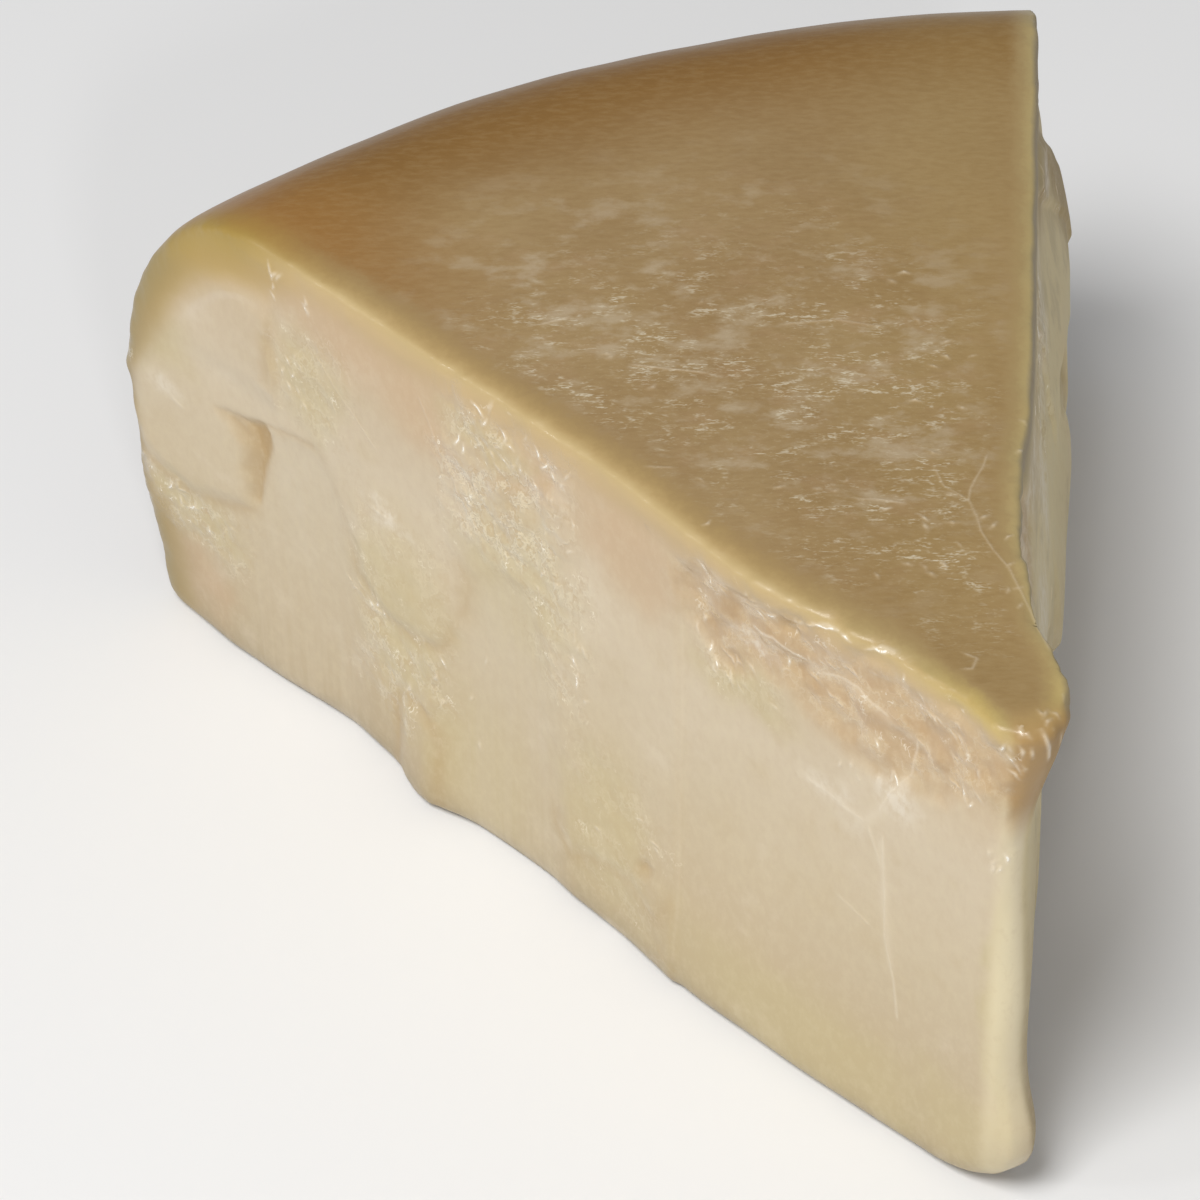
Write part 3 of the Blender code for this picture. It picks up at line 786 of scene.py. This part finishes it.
# Painted light: the nose's edge, turned away from the key light, is painted paler and yellower.
paste = cheese.mix(cheese.times(cheese.guide("nose_edge"), 0.85), paste, srgb(236, 222, 184))
streaks = cheese.cloud(cheese.place((1.4, 1.4, 60)), 2.0, 0.5, 2.0)
streaked = cheese.times(smooth_at, cheese.span(streaks, 0.3, 0.7, 0.25, 0.5))
streaked = cheese.times(streaked, cheese.span(olive_at, 0.0, 1.0, 1.0, 0.4))
paste = cheese.mix(streaked, paste, srgb(204, 189, 162))
broken = cheese.span(cheese.cloud(cheese.place((4.5, 4.5, 4.5)), 2.0, 0.5, 10.0), 0.42, 0.56)
wet_paste = cheese.mix(broken, srgb(182, 149, 105), srgb(194, 163, 117))
wet_share = cheese.times(wet_at, cheese.span(mottle, 0.62, 0.38, 0.62, 0.95))
paste = cheese.mix(wet_share, paste, wet_paste)
shade_brown_paste = cheese.mix(olive_at, srgb(173, 139, 84), srgb(150, 122, 62))
# Painted shade: brown in the dents, under the lobes and along the marks' rims, with the darker olive brown
# patch on the right.
paste = cheese.mix(cheese.times(cheese.guide("brown_shade"), 0.88), paste, shade_brown_paste)
grain = cheese.cloud(cheese.place((1.6, 1.6, 2.4)), 4.0, 0.65, 3.0)
paste = cheese.mix(cheese.span(grain, 0.4, 0.7, 0.0, 0.18), paste, srgb(220, 207, 172))
paste = cheese.mix(cheese.span(grain, 0.5, 0.3, 0.0, 0.18), paste, srgb(197, 176, 138))
# Painted sheen: whiter spots where the film shines over the paste.
painted_sheen_spots = cheese.times(cheese.guide("pale"), cheese.span(grain, 0.38, 0.62, 0.15, 0.62))
paste = cheese.mix(painted_sheen_spots, paste, srgb(229, 219, 202))
dark_grain = cheese.times(torn_at, cheese.span(grain, 0.48, 0.32, 0.0, 0.4))
paste = cheese.mix(dark_grain, paste, srgb(192, 166, 122))
light_grain = cheese.times(torn_at, cheese.span(grain, 0.58, 0.72, 0.0, 0.28))
paste = cheese.mix(light_grain, paste, srgb(226, 214, 184))

# The film's finest wrinkles: short crooked strokes where it bridges torn or wet paste, a painted highlight
# beside a painted shade.
crinkled = cheese.sum("MAXIMUM", torn_at, cheese.times(wet_at, 0.44))
crinkled = cheese.times(crinkled, cheese.span(olive_at, 0.0, 1.0, 1.0, 0.85))
wrinkle = cheese.cloud(cheese.place((2.2, 2.2, 2.8)), 3.0, 0.6, 9.0)
glint_side = cheese.span(cheese.off(wrinkle, 0.52), 0.045, 0.008)
shaded_side = cheese.span(cheese.off(wrinkle, 0.44), 0.05, 0.01)
share = cheese.times(crinkled, broken)
wrinkle_glint = cheese.times(share, glint_side)
wrinkle_shade = cheese.times(share, shaded_side)
paste = cheese.mix(cheese.times(wrinkle_shade, 0.4), paste, srgb(184, 154, 108))
paste = cheese.mix(cheese.times(wrinkle_glint, 0.42), paste, srgb(232, 218, 186))
# Painted glints: tiny near-white sparks gathered in clusters over torn and wet paste.
glint_noise = cheese.cloud(cheese.place((1.3, 1.3, 1.7)), 2.0, 0.6, 13.0)
painted_sparks = cheese.span(cheese.off(glint_noise, 0.5), 0.035, 0.012)
cluster = cheese.span(cheese.cloud(cheese.place((5.5, 5.5, 5.5)), 3.0, 0.6, 14.0), 0.54, 0.62)
broken_up = cheese.span(cheese.cloud(cheese.place((1.9, 1.9, 1.9)), 1.0, 0.5, 15.0), 0.52, 0.6)
painted_sparks = cheese.times(painted_sparks, cheese.times(cluster, broken_up))
painted_sparks = cheese.times(painted_sparks, crinkled)

# Rind: olive brown, browner over the shoulder and down the heel, with a pale haze painted as the film's
# sheen and pale dashes and specks painted as glints on the film's fine wrinkles.
shade = cheese.cloud(cheese.place((24, 24, 24)), 4.0, 0.5, 4.0)
rind = cheese.mix(cheese.span(shade, 0.3, 0.7), srgb(149, 121, 79), srgb(158, 132, 90))
right_at = cheese.guide("right_hand")
outer_share = cheese.times(outer_at, cheese.span(right_at, 0.0, 1.0, 1.0, 0.75))
rind = cheese.mix(outer_share, rind, srgb(130, 93, 38))
rind = cheese.mix(cheese.times(right_at, 0.3), rind, srgb(148, 120, 62))
rind = cheese.mix(cheese.times(cheese.guide("corner"), 0.8), rind, srgb(152, 108, 50))
rosy = cheese.span(cheese.cloud(cheese.place((9, 6, 7), RIND_TURN), 4.0, 0.6, 17.0), 0.48, 0.68)
rosy = cheese.times(rosy, cheese.guide("hazy"))
rind = cheese.mix(cheese.times(rosy, 0.22), rind, srgb(170, 138, 106))
fine = cheese.cloud(cheese.place((2.4, 0.8, 0.8), RIND_TURN), 3.0, 0.6, 5.0)
rind = cheese.mix(cheese.span(fine, 0.4, 0.7, 0.0, 0.13), rind, srgb(182, 160, 118))
rind = cheese.mix(cheese.span(fine, 0.5, 0.3, 0.0, 0.11), rind, srgb(120, 92, 52))
# Painted sheen: a pale haze where the film shines over the rind.
sheen_haze = cheese.span(cheese.cloud(cheese.place((7, 4, 5), RIND_TURN), 4.0, 0.6, 11.0), 0.48, 0.7)
sheen_haze = cheese.times(sheen_haze, cheese.guide("hazy"))
rind = cheese.mix(cheese.times(sheen_haze, 0.7), rind, srgb(181, 163, 134))
# Painted glints: pale crooked dashes and specks along the film's fine wrinkles.
patch = cheese.span(cheese.cloud(cheese.place((8, 5, 8), RIND_TURN), 3.0, 0.6, 8.0), 0.44, 0.6)
crooked = cheese.cloud(cheese.place((4.2, 0.9, 1.0), RIND_TURN), 3.0, 0.7, 6.0)
crooked = cheese.span(cheese.off(crooked, 0.5), 0.05, 0.012)
pieces = cheese.span(cheese.cloud(cheese.place((2.4, 0.9, 1.2), RIND_TURN), 2.0, 0.6, 16.0), 0.48, 0.6)
glint_flecks = cheese.times(cheese.times(cheese.guide("speckled"), patch), pieces)
glint_flecks = cheese.times(glint_flecks, crooked)
rind = cheese.mix(cheese.times(glint_flecks, 0.8), rind, srgb(208, 197, 172))
glint_specks = cheese.span(cheese.cloud(cheese.place((1.0, 0.45, 0.5), RIND_TURN), 2.0, 0.6, 12.0), 0.56, 0.66)
glint_speck_share = cheese.times(cheese.guide("speckled"), cheese.span(patch, 0, 1, 0.35, 1.0))
glint_specks = cheese.times(glint_speck_share, glint_specks)
rind = cheese.mix(cheese.times(glint_specks, 0.42), rind, srgb(198, 182, 150))

# Where the rind meets a cut side its colour runs from brown through ochre to pale yellow, and then cream.
edge_waver = cheese.cloud(cheese.place((13, 13, 13)), 2.0, 0.5, 7.0)
edge = cheese.sum("ADD", cheese.guide("rind_edge"), cheese.span(edge_waver, 0.2, 0.8, -0.7, 0.7))
ragged = cheese.times(cheese.span(edge, -0.5, -3.0), cheese.span(grain, 0.3, 0.7, 0.6, -0.6))
edge = cheese.sum("ADD", edge, ragged)
across_border = cheese.sum("MULTIPLY_ADD", edge, 0.04, 0.4)
border = cheese.band(across_border, [
    (0.00, srgb(154, 126, 84)), (0.16, srgb(156, 129, 86)), (0.24, srgb(160, 133, 87)),
    (0.30, srgb(167, 140, 91)), (0.335, srgb(175, 148, 98)), (0.37, srgb(185, 160, 110)),
    (0.40, srgb(192, 168, 119)), (0.46, srgb(194, 168, 122)), (0.60, srgb(195, 167, 125)),
    (0.78, srgb(200, 174, 137)), (0.95, srgb(206, 184, 153)),
])
# On the right side the border dips to a greyer strip just under the rind edge: painted shade with a painted
# grey reflection of the film.
plain_border = cheese.band(across_border, [
    (0.10, srgb(156, 129, 84)), (0.26, srgb(162, 138, 92)), (0.36, srgb(176, 156, 106)),
    (0.41, srgb(164, 148, 112)), (0.47, srgb(158, 140, 108)), (0.56, srgb(172, 154, 112)),
    (0.80, srgb(188, 170, 122)),
])
border = cheese.mix(right_at, border, plain_border)
ochre_border = cheese.band(across_border, [
    (0.00, srgb(150, 108, 50)), (0.20, srgb(153, 113, 52)), (0.32, srgb(155, 121, 54)),
    (0.38, srgb(158, 129, 56)), (0.44, srgb(164, 136, 58)), (0.50, srgb(171, 142, 62)),
    (0.60, srgb(179, 148, 70)), (0.70, srgb(186, 155, 84)), (0.80, srgb(193, 163, 103)),
    (0.90, srgb(198, 172, 124)), (1.0, srgb(203, 180, 142)),
])
heel_at = cheese.guide("heel")
heel_rind = cheese.times(outer_at, cheese.span(right_at, 0.0, 1.0, 1.0, 0.0))
ochre_share = cheese.span(edge, -1.5, 0.5, heel_rind, heel_at)
border = cheese.mix(cheese.times(ochre_share, 0.9), border, ochre_border)
skin_colour = cheese.mix(cheese.span(edge, -3.5, -8.0), border, rind)
paste_from = cheese.span(heel_at, 0.0, 1.0, 2.0, 6.0)
paste_to = cheese.span(heel_at, 0.0, 1.0, 8.0, 16.0)
paste_share = cheese.span(edge, paste_from, paste_to)
wet_under_rind = cheese.times(wet_at, cheese.span(edge, 1.0, 4.0, 0.0, 0.75))
paste_share = cheese.sum("MAXIMUM", paste_share, wet_under_rind)
skin_colour = cheese.mix(paste_share, skin_colour, paste)
# Painted shade: a darker olive band on the cut side along the heel's rind.
heel_edge_shade_share = cheese.times(cheese.guide("heel_edge_shade"), cheese.span(edge, 14.0, 0.0, 0.0, 0.82))
heel_edge_shade_share = cheese.times(heel_edge_shade_share, cheese.span(edge, -2.0, 1.0))
skin_colour = cheese.mix(heel_edge_shade_share, skin_colour, srgb(148, 129, 80))
lip_band = cheese.span(cheese.sum("ABSOLUTE", cheese.sum("ADD", edge, 1.5)), 4.5, 1.0)
lip_band = cheese.times(lip_band, cheese.guide("near_nose"))
skin_colour = cheese.mix(cheese.times(lip_band, 0.55), skin_colour, srgb(192, 168, 90))
# Painted shade on the nose's face under the rind's lip, a little lighter towards its top.
tip_shade = cheese.mix(cheese.span(up, 95.0, 97.5), srgb(167, 132, 79), srgb(168, 137, 87))
skin_colour = cheese.mix(cheese.times(cheese.guide("tip"), 0.9), skin_colour, tip_shade)
# Painted highlights: pale along the pleats and creases, near white on the brightest folds, then the painted
# sparks.
pleat_glint_share = cheese.times(cheese.sum("MINIMUM", pleat_glint_at, 1.0), 0.6)
skin_colour = cheese.mix(pleat_glint_share, skin_colour, srgb(238, 223, 196))
skin_colour = cheese.mix(cheese.span(pleat_glint_at, 0.9, 1.3), skin_colour, srgb(252, 247, 234))
skin_colour = cheese.mix(painted_sparks, skin_colour, srgb(252, 244, 224))
cheese.put(skin_colour, cheese.shader.inputs["Base Color"])

# The film: glossy where it bridges torn and wet paste, satin where it lies flat.
on_rind_at = cheese.span(edge, 0.5, -1.5)
bridged = cheese.sum("MAXIMUM", torn_at, wet_at)
gloss = cheese.times(bridged, cheese.span(broken, 0.0, 1.0, 0.3, 0.6))
gloss = cheese.sum("MAXIMUM", gloss, pleat_glint_at)
gloss = cheese.times(gloss, cheese.span(olive_at, 0.0, 1.0, 1.0, 0.1))
film_roughness = cheese.span(gloss, 0.0, 0.8, 0.42, 0.24)
film_roughness = cheese.sum("ADD", film_roughness, cheese.times(olive_at, 0.2))
cheese.put(film_roughness, cheese.shader.inputs["Roughness"])
coat = cheese.span(gloss, 0.0, 0.7, 0.1, 0.8)
coat = cheese.times(coat, cheese.span(olive_at, 0.0, 1.0, 1.0, 0.0))
cheese.put(coat, cheese.shader.inputs["Coat Weight"])
cheese.shader.inputs["Coat Roughness"].default_value = 0.1
bump = cheese.tree.nodes.new("ShaderNodeBump")
bump.inputs["Distance"].default_value = BUMP_DEPTH
bump.inputs["Strength"].default_value = 1.0
relief = cheese.times(grain, cheese.span(bridged, 0.0, 0.8, 0.12, 0.36))
relief = cheese.sum("MULTIPLY_ADD", fine, cheese.times(on_rind_at, 0.1), relief)
relief = cheese.sum("MULTIPLY_ADD", wrinkle_glint, 0.12, relief)
relief = cheese.sum("MULTIPLY_ADD", streaks, cheese.times(smooth_at, 0.05), relief)
cheese.put(relief, bump.inputs["Height"])
cheese.put(bump.outputs["Normal"], cheese.shader.inputs["Normal"])
wedge.data.materials.append(cheese.material)

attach(wedge, "root")
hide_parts("cheese_wedge")


# ---------------------------------------------------------------------------------------------------------
# The floor: a plain pale sheet, wide enough to fill the view. It isn't part of the cheese.
# ---------------------------------------------------------------------------------------------------------
FLOOR_REACH = 4.0
FLOOR_GREY = 0.84
floor_mesh = bpy.data.meshes.new("floor")
floor_corners = [(x * FLOOR_REACH, y * FLOOR_REACH, 0.0) for x, y in ((-1, -1), (1, -1), (1, 1), (-1, 1))]
floor_mesh.from_pydata(floor_corners, [], [(0, 1, 2, 3)])
floor = bpy.data.objects.new("floor", floor_mesh)
bpy.context.scene.collection.objects.link(floor)
sheet = Finish("pale_floor")
sheet.shader.inputs["Base Color"].default_value = (FLOOR_GREY, FLOOR_GREY, FLOOR_GREY, 1)
sheet.shader.inputs["Roughness"].default_value = 0.9
floor.data.materials.append(sheet.material)


# ---------------------------------------------------------------------------------------------------------
# Light and camera: an even white studio, with a broad soft light from above and in front of the left side.
# ---------------------------------------------------------------------------------------------------------
STUDIO_STRENGTH = 0.28
LIT_PLACE = Vector((0, 0, 0.05))
CAMERA_PLACE = (-0.26452, -0.60512, 0.68170)
CAMERA_LENS = 180.42
CAMERA_TURN, CAMERA_TILT, CAMERA_ROLL = -21.228, 45.914, -0.307
world = bpy.data.worlds.new("studio")
world.use_nodes = True
world.node_tree.nodes["Background"].inputs["Color"].default_value = (1, 1, 1, 1)
world.node_tree.nodes["Background"].inputs["Strength"].default_value = STUDIO_STRENGTH
bpy.context.scene.world = world


def soft_light(name, place, size, power):
    """A square soft light that faces the wedge."""
    lamp = bpy.data.lights.new(name, "AREA")
    lamp.size = size
    lamp.energy = power
    light = bpy.data.objects.new(name, lamp)
    light.location = place
    light.rotation_euler = (LIT_PLACE - Vector(place)).to_track_quat("-Z", "Y").to_euler()
    bpy.context.scene.collection.objects.link(light)


soft_light("key", (-0.62, -0.42, 1.42), 0.6, 17.6)
soft_light("front", (-0.35, -1.35, 0.95), 0.14, 3)
soft_light("side", (-1.45, 0.15, 0.75), 0.14, 2)

camera_lens = bpy.data.cameras.new("camera")
camera_lens.lens = CAMERA_LENS
camera_lens.sensor_width = 36
camera = bpy.data.objects.new("camera", camera_lens)
camera.location = CAMERA_PLACE
camera.rotation_euler = (
    Matrix.Rotation(math.radians(CAMERA_TURN), 3, "Z") @ Matrix.Rotation(math.radians(CAMERA_TILT), 3, "X")
    @ Matrix.Rotation(math.radians(CAMERA_ROLL), 3, "Z")
).to_euler()
bpy.context.scene.collection.objects.link(camera)
bpy.context.scene.camera = camera
bpy.context.scene.view_settings.view_transform = "Standard"
